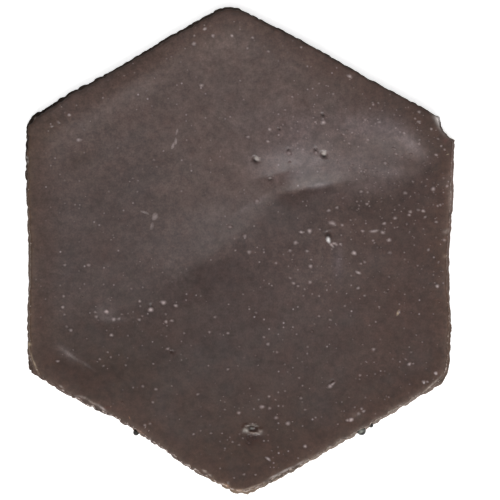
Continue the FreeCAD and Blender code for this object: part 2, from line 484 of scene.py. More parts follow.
# From the face to the first row, two wall points come to each point of the face's rim.
step = np.arange(round_count // 2)
face_edge = row_start - len(step) + step
face_edge_next = row_start - len(step) + (step + 1) % len(step)
row_even = row_start + 2 * step
row_odd = row_even + 1
row_next = row_start + (2 * step + 2) % round_count
bands = [np.concatenate([
    np.stack([face_edge, row_even, row_odd], axis=1),
    np.stack([face_edge, row_odd, face_edge_next], axis=1),
    np.stack([face_edge_next, row_odd, row_next], axis=1),
])]
for upper in row_start + np.arange(len(rows) - 1) * round_count:
    bands.append(band(upper + round_count, upper, round_count)[:, ::-1])

# From the last row to the bed, each point of the bed's rim has a fan of wall points.
last_row = bed_start - round_count
bed_rim = len(points) - 6 * BED_RINGS
step = np.arange(6 * BED_RINGS)
seam = [np.stack([
    last_row + (SEAM * step + SEAM // 2) % round_count,
    bed_rim + step,
    bed_rim + (step + 1) % len(step),
], axis=1)]
for number in range(SEAM):
    owner = step if number < SEAM // 2 else (step + 1) % len(step)
    seam.append(np.stack([
        last_row + SEAM * step + number,
        bed_rim + owner,
        last_row + (SEAM * step + number + 1) % round_count,
    ], axis=1))
face_triangles = lattice_triangles(RINGS)
bed_triangles = bed_start + lattice_triangles(BED_RINGS)[:, ::-1]
triangles = np.concatenate([face_triangles, *bands, *seam, bed_triangles])


def linear(code):
    """Linear red, green, blue and alpha of an sRGB hex colour."""
    parts = [int(code[start:start + 2], 16) / 255 for start in (1, 3, 5)]
    lit = [part / 12.92 if part <= 0.04045 else ((part + 0.055) / 1.055) ** 2.4 for part in parts]
    return [*lit, 1.0]


def mixed(base, share, other):
    """Colours mixed by a share with others, or with one."""
    return base + (other - base) * share[:, None]


def painted(base, share, code):
    """Colours mixed by a share with one sRGB hex colour."""
    return mixed(base, share, np.array(linear(code)))


# The colour of the glaze. It is lighter on the upper left of the face and darker on the lower right,
# with a wandering line between them. Where the glaze is thin, towards the edges, the iron in the
# clay turns it a redder brown.
UPPER_GLAZE = "#544541"
LOWER_GLAZE = "#3F312E"
EDGE_BROWN = "#402A20"
EDGE_REACH = 13.0
EDGE_SHARE = 0.6
RIM_REACH = 1.1
RIM_SHARE = 0.55
GLAZE_LINE = np.array([
    (-20, 320, 70), (60, 318, 50), (120, 300, 50), (153, 284, 40), (190, 262, 20), (230, 243, 14),
    (265, 208, 12), (283, 193, 4), (300, 190.5, 3), (328, 186, 3), (345, 186, 14), (360, 190, 20),
    (375, 192, 22), (390, 188, 20), (405, 178, 18), (420, 164, 14), (445, 138, 14), (480, 130, 14),
])
GLAZE_LINE_WANDER = 4.0
GLAZE_LINE_WANDER_LENGTHS = (25.0, 80.0)

# Patches: place in the photo, direction, half length, half width, share, colour. Some are painted
# light, as marked: the lamp's sheen in the glaze and the shade between its streaks.
PATCHES = [
    ((45, 240), 90, 40.0, 22.0, 0.7, "#443734"),
    ((135, 200), 80, 36.0, 15.0, 0.5, "#473A37"),
    ((110, 215), 70, 28.0, 17.0, 0.4, "#3E3230"),
    ((150, 265), 0, 24.0, 14.0, 0.5, "#3C302E"),
    ((68, 270), 0, 14.0, 11.0, 0.45, "#3A2E2C"),
    ((240, 228), 40, 8.0, 4.0, 0.4, "#3A2E2C"),
    ((220, 42), 0, 18.0, 8.0, 0.4, "#6A5A54"),
    # Painted highlights: pale streaks where light catches the drag lines in the glaze
    ((260, 200), 35, 4.0, 1.0, 0.25, "#75686A"),
    ((243, 210), 35, 4.0, 1.0, 0.25, "#75686A"),
    ((226, 206), 38, 5.0, 0.8, 0.2, "#6A5C5C"),
    ((400, 108), -40, 12.0, 6.0, 0.3, "#3A2E2A"),
    ((118, 330), -20, 16.0, 13.0, 0.35, "#3A2A24"),
    ((45, 350), 60, 9.0, 8.0, 0.4, "#38281F"),
    ((85, 385), -28, 14.0, 6.0, 0.4, "#35231A"),
    ((205, 412), -10, 14.0, 13.0, 0.3, "#4E3E3C"),
    ((285, 465), 30, 14.0, 6.0, 0.3, "#2A1C16"),
    ((443, 275), 90, 24.0, 5.0, 0.35, "#604638"),
    ((444, 165), 80, 5.0, 1.6, 0.3, "#5C3C2E"),
    ((443, 203), 90, 6.0, 1.6, 0.3, "#5A3A2C"),
    ((447, 184), 90, 2.6, 1.5, 0.4, "#8A7670"),
    ((446, 222), 20, 2.4, 1.2, 0.4, "#8A7670"),
    ((225, 225), 38, 17.0, 6.0, 0.4, "#3E3230"),
    ((198, 208), 30, 16.0, 7.0, 0.25, "#3E3230"),
    ((268, 245), 20, 10.0, 9.0, 0.4, "#544542"),
    # Painted highlight: a pale line along the fold where the sheen is brightest
    ((335, 196), 8, 12.0, 3.0, 0.25, "#6A5A58"),
    ((328, 226), 0, 8.0, 5.0, 0.35, "#5E4E4A"),
    ((376, 231), 0, 5.0, 1.6, 0.3, "#6E5C56"),
    ((84, 158), 40, 6.0, 3.0, 0.35, "#3A2B22"),
    ((60, 352), -20, 12.0, 6.0, 0.3, "#5A4B48"),
    ((130, 92), 33, 35.0, 4.0, 0.2, "#6A5852"),
    # The next eighteen patches are painted sheen. The pale grey-pink ones are painted highlights where
    # the lamp's reflection in the glaze is brightest, above the fold and in streaks to its right. The
    # darker ones between them are painted shade.
    ((290, 128), 0, 18.0, 8.0, 0.25, "#6A5C5C"),
    ((300, 129), 0, 5.0, 4.0, 0.25, "#75686A"),
    ((352, 163), 8, 9.0, 4.0, 0.25, "#75686A"),
    ((388, 172), -5, 6.0, 2.0, 0.45, "#7A6C6C"),
    ((402, 160), 0, 4.0, 2.0, 0.4, "#4A3A38"),
    ((316, 161), 8, 2.4, 1.8, 0.35, "#857879"),
    ((320, 185.5), 10, 3.4, 0.9, 0.5, "#857879"),
    ((296, 175), 20, 3.0, 2.4, 0.25, "#3E3234"),
    ((340, 170), 0, 4.0, 3.0, 0.25, "#4A3E3E"),
    ((360, 150), 0, 2.2, 1.8, 0.3, "#4A3E3E"),
    ((412, 166), 60, 5.0, 2.0, 0.25, "#4A3A34"),
    ((380, 200), 0, 5.0, 4.0, 0.3, "#55463F"),
    ((290, 158), 8, 12.0, 6.0, 0.45, "#6C5F61"),
    ((300, 174), 12, 7.0, 1.5, 0.35, "#42363A"),
    ((362, 127), -8, 9.0, 4.0, 0.35, "#75686A"),
    ((392, 128), -25, 8.0, 4.0, 0.35, "#75686A"),
    ((413, 145), -42, 6.0, 2.2, 0.6, "#7C6E6E"),
    ((429, 149), -52, 6.0, 2.2, 0.35, "#40302A"),
    ((370, 186), 5, 7.0, 2.4, 0.3, "#5E4F50"),
    ((270, 205), 35, 7.0, 3.0, 0.25, "#3A2A26"),
    ((345, 250), 0, 18.0, 14.0, 0.4, "#574945"),
    ((395, 216), -10, 22.0, 5.0, 0.25, "#33241F"),
    ((308, 275), 0, 16.0, 10.0, 0.25, "#5A4A47"),
    ((272, 188), 20, 4.0, 2.5, 0.4, "#432F2A"),
    ((400, 320), 80, 42.0, 22.0, 0.8, "#412D26"),
    ((250, 462), 0, 45.0, 20.0, 0.8, "#37241B"),
    ((235, 435), 0, 80.0, 28.0, 0.4, "#322014"),
    ((395, 400), 32, 40.0, 10.0, 0.6, "#332018"),
    ((175, 350), -15, 28.0, 12.0, 0.35, "#2E2420"),
    ((100, 362), -28, 30.0, 11.0, 0.8, "#36251C"),
    ((62, 373), -28, 11.0, 5.0, 0.8, "#2E1D15"),
    ((80, 372), -28, 10.0, 4.0, 0.5, "#2E1A10"),
    ((120, 352), -10, 12.0, 8.0, 0.3, "#33231B"),
    ((45, 130), 60, 10.0, 5.0, 0.5, "#4E3F34"),
    ((430, 125), -60, 14.0, 5.0, 0.6, "#3E2E27"),
    ((203, 272), 35, 6.0, 3.0, 0.4, "#33231E"),
    ((300, 201), 8, 9.0, 3.5, 0.45, "#35241F"),
    ((357, 415), 20, 2.2, 1.4, 0.4, "#7A6A62"),
    ((338, 262), 90, 6.0, 1.6, 0.25, "#6E6066"),
    ((66, 352), -35, 3.4, 1.5, 0.2, "#8A7A78"),
    ((70.5, 354.8), -36, 2.8, 0.4, 0.28, "#A39794"),
    ((86.5, 364.5), -34, 2.6, 0.4, 0.2, "#8A7C78"),
    ((106, 313), -10, 3.5, 2.5, 0.2, "#7A6E6E"),
    ((113, 319), 0, 4.5, 0.8, 0.25, "#7A6E6E"),
]

# The big blister, in the same form: a pale lip that is thickest on its left, a painted highlight
# where the raised lip catches the light, a light grey spot on its floor, and a dark red-brown patch
# below it
BLISTER = [
    ((251.5, 440.5), 0, 3.8, 2.3, 1.0, "#2E1305"),
    ((254, 437), 0, 2.2, 0.7, 0.8, "#1E0804"),
    ((246, 430), -10, 0.8, 0.6, 0.85, "#B8B0A8"),
    ((254.5, 433), -4, 2.2, 0.26, 0.6, "#B0A096"),
    ((254.5, 425), -15, 1.3, 0.3, 0.6, "#A8A098"),
    ((248, 425.6), 35, 0.9, 0.3, 0.4, "#A8A098"),
    ((260.2, 430.8), -30, 0.6, 0.5, 0.45, "#A89C94"),
    ((252, 428), -20, 0.7, 0.4, 0.7, "#84847E"),
]
# The craters' painted highlight, and the painted shade of the craters and of the domes' far sides
CRATER_HIGHLIGHT = "#C4BAB4"
PAINTED_SHADE = "#221D1C"
PIT_SHARE = 0.85
PIT_SLOPE = (0.2, 0.85)
PIT_NEAR = 0.4
PIT_FAR = 0.45
PALE_SLOPE = (0.15, 0.75)

# Marks along the rim and the walls, in the same form: nicks and bare spots; thin pale lines along
# the lower rims, partly worn arris and partly painted highlight, with dark strips beside them that
# are painted shade; and on the right wall a pale strip that is a painted reflection
NICKS = [
    ((26, 138), 90, 0.6, 0.45, 0.9, "#D0C6C0"),
    ((27, 158), 90, 0.5, 0.45, 0.8, "#D0C6C0"),
    ((27.5, 162), 90, 0.5, 0.4, 0.7, "#C8BEB8"),
    ((35, 118), 45, 0.6, 0.3, 0.6, "#B09A90"),
    ((29, 364), -65, 5.0, 0.9, 0.75, "#3A302C"),
    ((28.5, 344), 0, 0.7, 0.5, 0.9, "#D8C4A8"),
    ((34.5, 363), -69, 5.0, 0.22, 0.5, "#B8A48C"),
    ((61.5, 386.5), -40, 0.7, 0.3, 0.5, "#A89C94"),
    # Along the lower left rim: a dark strip of painted shade, and thin pale lines, partly worn arris
    # and partly painted highlight
    ((96, 408), -30, 3.0, 0.5, 0.8, "#2A211D"),
    ((83, 397), -15, 1.4, 0.28, 0.5, "#A89C96"),
    ((91, 401.5), -38, 1.2, 0.28, 0.5, "#A8988E"),
    ((97, 404.5), -20, 0.9, 0.28, 0.5, "#A89C96"),
    ((102.5, 408), -38, 1.3, 0.3, 0.6, "#B8ACA8"),
    ((107.5, 407.5), 0, 0.8, 0.5, 0.6, "#4A241A"),
    ((140, 432), -30, 1.3, 0.5, 0.6, "#94705C"),
    ((205, 471), -30, 0.8, 0.3, 0.6, "#C8B8AC"),
    ((210, 475), -30, 0.6, 0.3, 0.5, "#C8B8AC"),
    ((226, 485), -30, 1.0, 0.4, 0.6, "#B08A6C"),
    ((239, 490.5), 0, 1.1, 0.5, 0.8, "#C09A7C"),
    # Along the bottom rim: thin pale lines, partly worn arris and partly painted highlight, and dark
    # strips below them, painted shade
    ((252, 487), 20, 3.6, 0.25, 0.5, "#B8A694"),
    ((274, 476), 27, 1.8, 0.25, 0.5, "#D0C6C0"),
    ((286, 469.8), 26, 2.2, 0.25, 0.6, "#D0C6C0"),
    ((300, 463), 27, 1.4, 0.3, 0.4, "#C8BEB8"),
    ((280, 476.5), 28, 2.6, 0.8, 0.8, "#2E2521"),
    ((269, 483), 25, 2.2, 0.7, 0.7, "#2E2521"),
    ((296, 468.5), 28, 2.4, 0.8, 0.7, "#2E2521"),
    # Along the lower right rim: a thin pale line, partly worn arris and partly painted highlight, and
    # dark strips beside it, painted shade
    ((430, 386), 42, 4.0, 0.25, 0.5, "#B0A296"),
    ((440.5, 382), 45, 2.6, 0.8, 0.7, "#2A2320"),
    ((422, 394), 35, 2.4, 0.5, 0.5, "#2E2622"),
    ((440.5, 122), -61, 3.4, 1.1, 1.0, "#F2EAE6"),
    ((446, 134), -50, 0.9, 0.4, 0.7, "#B8ACA6"),
    ((451, 138.5), -35, 1.2, 0.5, 0.7, "#B8ACA6"),
    ((453.5, 145), 90, 1.0, 0.4, 0.7, "#B0A298"),
    ((445, 141), 0, 0.8, 0.7, 0.6, "#5A3430"),
    # A pale strip on the right wall: a painted reflection of the white floor
    ((451, 200), 90, 8.0, 0.9, 0.35, "#9A8C86"),
    ((447.5, 231), 15, 1.6, 0.7, 0.45, "#A0928C"),
    ((446, 256.5), 10, 1.2, 0.5, 0.45, "#A08C7C"),
    ((451, 214), 60, 1.6, 0.7, 0.5, "#3A2C26"),
]


def reach_of(loop, points):
    """How far a loop round the middle reaches in the directions of the points."""
    distances = np.linalg.norm(loop, axis=1)
    return np.interp(degrees_of(points), degrees_of(loop), distances, period=360)


def colours_around(points, number):
    """A column of colours of the table at the directions of the points."""
    channels = np.array([linear(entry[number]) for entry in AROUND]).T
    return np.stack([around(points, channel) for channel in channels], axis=1)


def patched(colour, points, patches):
    """Colours with each patch mixed in as a stretched bell."""
    for place, degrees, half_length, half_width, share, code in patches:
        spread = bell(points, from_photo(place), degrees, half_length, half_width)
        colour = painted(colour, share * spread, code)
    return colour


def glaze_colour(points):
    """Colour of the face: a lighter and a darker glaze on either side of a wandering line, the
    patches, the browns of the edge and of the rim, whose colour is partly painted light, by the
    distance from the rim, and the craters, each with painted shade inside it towards its near side
    and a painted highlight on the wall of its far side."""
    pixels = (points + middle) / (PIXEL, -PIXEL) + PHOTO_MIDDLE
    line = np.interp(pixels[:, 0], GLAZE_LINE[:, 0], GLAZE_LINE[:, 1])
    width = np.interp(pixels[:, 0], GLAZE_LINE[:, 0], GLAZE_LINE[:, 2])
    line += GLAZE_LINE_WANDER * waves(pixels, *GLAZE_LINE_WANDER_LENGTHS, seed=5)
    covered = smooth((pixels[:, 1] - line) / width, -1, 1)
    colour = painted(np.tile(linear(UPPER_GLAZE), (len(points), 1)), covered, LOWER_GLAZE)
    colour = patched(colour, points, PATCHES)
    depth = reach_of(rim_loop, points) - np.linalg.norm(points, axis=1)
    colour = painted(colour, EDGE_SHARE * (1 - smooth(depth, 0, EDGE_REACH)), EDGE_BROWN)
    # The rim's colour is partly painted light: darker on the upper sides, lighter on the lower and
    # right sides
    tint = RIM_SHARE * np.exp(-np.maximum(depth, 0) / RIM_REACH)
    colour = mixed(colour, tint, colours_around(points, EDGE_COLOUR_AND_LIGHT))
    # Each crater gets painted shade inside it, moved towards its near side, and a painted highlight on
    # the wall of its far side, where the key lamp would light it
    for place, degrees, half_length, half_width, _, _, pale in CRATERS:
        along, across = turned(points, from_photo(place), degrees)
        near_span = np.hypot(along / half_length, across / half_width + PIT_NEAR * pale)
        far_span = np.hypot(along / half_length, across / half_width - PIT_FAR)
        colour = painted(colour, PIT_SHARE * (1 - smooth(near_span, *PIT_SLOPE)), PAINTED_SHADE)
        colour = painted(colour, pale * (1 - smooth(far_span, *PALE_SLOPE)), CRATER_HIGHLIGHT)
    return patched(colour, points, BLISTER)


# The walls take their own colour over the rows of the rim. Bare clay shows in worn spots, most on
# the third row of the rim, and at the foot of the walls.
WORN_ROW = 2
WORN_ROWS = 2.5
FOOT_SPREAD = 0.8
plan = points[:, :2]
wall_share = np.zeros(len(points))
bare = np.zeros(len(points))
worn = column(plan, WORN)
glaze_end = column(plan, GLAZE_END)
for number in range(len(rows)):
    row = slice(row_start + number * round_count, row_start + (number + 1) * round_count)
    wall_share[row] = smooth(number + 1, 1, RIM_ROWS - 1)
    crest = math.exp(-(((number - WORN_ROW) / WORN_ROWS) ** 2))
    foot = 1 - smooth(points[row, 2], glaze_end[row] - FOOT_SPREAD, glaze_end[row] + FOOT_SPREAD)
    bare[row] = np.maximum(worn[row] * crest, np.where(glaze_end[row] > 0, foot, 0))
# The walls' colour carries painted shade on the upper sides, and painted light and reflection on the
# lower and right sides
colours = mixed(glaze_colour(plan), wall_share, colours_around(plan, WALL_COLOUR_AND_LIGHT))

# Down the wall a mark breaks up into blots.
BLOT_LENGTHS = (2.0, 6.0)
BLOT_SPREAD = 0.6
BROKEN_DEPTH = 4.0
WHOLE_DEPTH = 1.0
blots = smooth(waves(points, *BLOT_LENGTHS, seed=9), -BLOT_SPREAD, BLOT_SPREAD)
marked = np.maximum(blots, smooth(points[:, 2], THICKNESS - BROKEN_DEPTH, THICKNESS - WHOLE_DEPTH))
colours = mixed(colours, marked, patched(colours, plan, NICKS))


def make_piece(name, points, triangles, colours, bare):
    """A mesh object from points in millimetres, with the two attributes that the finishes read."""
    mesh = bpy.data.meshes.new(name)
    mesh.from_pydata((points * MM).tolist(), [], triangles.tolist())
    mesh.update()
    mesh.shade_smooth()
    colour_layer = mesh.attributes.new("glaze_colour", "FLOAT_COLOR", "POINT")
    colour_layer.data.foreach_set("color", colours.ravel())
    bare_layer = mesh.attributes.new("bare", "FLOAT", "POINT")
    bare_layer.data.foreach_set("value", bare)
    piece = bpy.data.objects.new(name, mesh)
    bpy.context.collection.objects.link(piece)
    return piece


tile = make_piece("tile_body", points, triangles, colours, bare)


def fill(tree, node, **inputs):
    """Sets or links a node's inputs by name. A number in a name's place, such as _1, is the
    input's index."""
    for name, value in inputs.items():
        socket = node.inputs[int(name[1:])] if name[0] == "_" else node.inputs[name.replace("_", " ")]
        if isinstance(value, bpy.types.NodeSocket):
            tree.links.new(value, socket)
        else:
            socket.default_value = value


def add(tree, kind, settings=(), **inputs):
    """Adds a node, sets its properties, fills its inputs and gives its outputs."""
    node = tree.nodes.new("ShaderNode" + kind)
    for name, value in dict(settings).items():
        setattr(node, name, value)
    fill(tree, node, **inputs)
    return node.outputs


def new_finish(name):
    """A new material, with its node tree, its shader and the places that its patterns lie by."""
    material = bpy.data.materials.new(name)
    material.use_nodes = True
    tree = material.node_tree
    return material, tree, tree.nodes["Principled BSDF"], add(tree, "TexCoord")["Object"]


def scale_of(size):
    """Scale of a pattern whose cells are so many millimetres across."""
    return 1 / (size * MM)


def chipped_off(tree, place, size, detail, glazed, spread, clays):
    """Glaze with bare clay of two mixed colours where it is missing: where noise and the mesh's own
    share of bare clay come to about one. Also gives the share of clay."""
    bare_share = add(tree, "Attribute", {"attribute_name": "bare"})["Fac"]
    chips = add(tree, "TexNoise", Vector=place, Scale=scale_of(size), Detail=detail)["Fac"]
    chips = add(tree, "Math", {"operation": "ADD"}, _0=chips, _1=bare_share)[0]
    chips = add(tree, "MapRange", _0=chips, _1=0.92, _2=1.02)[0]
    clay = add(tree, "MixRGB", _0=spread, _1=linear(clays[0]), _2=linear(clays[1]))[0]
    return add(tree, "MixRGB", _0=chips, _1=glazed, _2=clay)[0], chips


# The finish of the face: a dark brown satin glaze on red clay. Its colour drifts a little over a few
# millimetres, and its skin has a fine grain from the bubbles that reached it. That grain is drawn at
# two pixels of the picture, because the real one, of about 0.2 mm, is too fine to show.
glaze, tree, shader, place = new_finish("satin_brown_glaze")
poured = add(tree, "Attribute", {"attribute_name": "glaze_colour"})["Color"]
grain = add(tree, "TexNoise", Vector=place, Scale=scale_of(0.7), Detail=3.0, Roughness=0.6)["Fac"]
mottle = add(tree, "TexNoise", Vector=place, Scale=scale_of(2.1), Detail=2.0)["Fac"]
drift = add(tree, "TexNoise", Vector=place, Scale=scale_of(6.2), Detail=3.0)["Fac"]
shade = add(tree, "MapRange", _0=grain, _1=0.3, _2=0.7, _3=0.78, _4=1.22)[0]
for noise, low, high in ((mottle, 0.80, 1.20), (drift, 0.89, 1.11)):
    level = add(tree, "MapRange", _0=noise, _1=0.3, _2=0.7, _3=low, _4=high)[0]
    shade = add(tree, "Math", {"operation": "MULTIPLY"}, _0=shade, _1=level)[0]
toned = add(tree, "VectorMath", {"operation": "SCALE"}, _0=poured, Scale=shade)[0]
hue = add(tree, "TexNoise", Vector=place, Scale=scale_of(3.8), Detail=4.0, Roughness=0.6)["Fac"]
broad = add(tree, "TexNoise", Vector=place, Scale=scale_of(18), Detail=3.0, Roughness=0.6)["Fac"]
tinges = [
    (hue, 0.52, 0.75, 0.12, "#624038"),
    (hue, 0.48, 0.25, 0.12, "#4A463C"),
    (broad, 0.52, 0.7, 0.12, "#53372E"),
    (broad, 0.48, 0.3, 0.12, "#4A474A"),
]
for noise, low, high, most, code in tinges:
    tinge = add(tree, "MapRange", _0=noise, _1=low, _2=high, _3=0.0, _4=most)[0]
    toned = add(tree, "MixRGB", _0=tinge, _1=toned, _2=linear(code))[0]
cells = add(tree, "TexVoronoi", Vector=place, Scale=scale_of(1.7))
dot = add(tree, "MapRange", _0=cells["Distance"], _1=0.25, _2=0.1)[0]
chosen = add(tree, "SeparateColor", _0=cells["Color"])[0]
chosen = add(tree, "MapRange", _0=chosen, _1=0.75, _2=1.0, _3=0.0, _4=0.6)[0]
crowd = add(tree, "TexNoise", Vector=place, Scale=scale_of(22), Detail=1.0)["Fac"]
crowd = add(tree, "MapRange", _0=crowd, _1=0.4, _2=0.6)[0]
dot = add(tree, "Math", {"operation": "MULTIPLY"}, _0=dot, _1=chosen)[0]
dot = add(tree, "Math", {"operation": "MULTIPLY"}, _0=dot, _1=crowd)[0]
dotted = add(tree, "MixRGB", _0=dot, _1=toned, _2=linear("#A8989A"))[0]
colour, chips = chipped_off(tree, place, 1.1, 2.0, dotted, drift, ("#AE9A90", "#C6BAB2"))
rough = add(tree, "MapRange", _0=chips, _3=0.24, _4=0.85)[0]
bump = add(tree, "Bump", Height=grain, Distance=0.0001, Strength=0.2)[0]
fill(tree, shader, Base_Color=colour, Roughness=rough, IOR=1.5, Normal=bump)
tile.data.materials.append(glaze)

# The finish of the walls: glaze that soaked in and dried matt, mottled where the clay shows through
# and bare where it ends.
wall, tree, shader, place = new_finish("dry_glaze_on_clay")
poured = add(tree, "Attribute", {"attribute_name": "glaze_colour"})["Color"]
grain = add(tree, "TexNoise", Vector=place, Scale=scale_of(0.9), Detail=3.0, Roughness=0.6)["Fac"]
shade = add(tree, "MapRange", _0=grain, _1=0.3, _2=0.7, _3=0.45, _4=1.55)[0]
toned = add(tree, "VectorMath", {"operation": "SCALE"}, _0=poured, Scale=shade)[0]
colour, _ = chipped_off(tree, place, 1.4, 3.0, toned, grain, ("#A68C7C", "#C9B8AC"))
bump = add(tree, "Bump", Height=grain, Distance=0.0002, Strength=0.6)[0]
fill(tree, shader, Base_Color=colour, Roughness=0.9, Specular_IOR_Level=0.0, Normal=bump)
tile.data.materials.append(wall)

# The finish of the bed: bare fired clay, with the marks of the board and a little glaze dust.
clay_body, tree, shader, place = new_finish("bare_fired_clay")
drift = add(tree, "TexNoise", Vector=place, Scale=scale_of(17), Detail=6.0, Roughness=0.6)["Fac"]
colour = add(tree, "MixRGB", _0=drift, _1=linear("#8F6F5C"), _2=linear("#C0A390"))[0]
grain = add(tree, "TexNoise", Vector=place, Scale=scale_of(1.1), Detail=4.0)["Fac"]
bump = add(tree, "Bump", Height=grain, Distance=0.0003, Strength=0.6)[0]
fill(tree, shader, Base_Color=colour, Roughness=0.9, Specular_IOR_Level=0.2, Normal=bump)
tile.data.materials.append(clay_body)

# The face's finish goes on over the first bands of the rim.
GLAZED_BANDS = 4
slots = np.zeros(len(triangles), dtype=np.int32)
slots[sum(len(each) for each in (face_triangles, *bands[:GLAZED_BANDS])):] = 1
slots[-len(bed_triangles):] = 2
tile.data.polygons.foreach_set("material_index", slots)

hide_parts("tile")
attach(tile, "root")

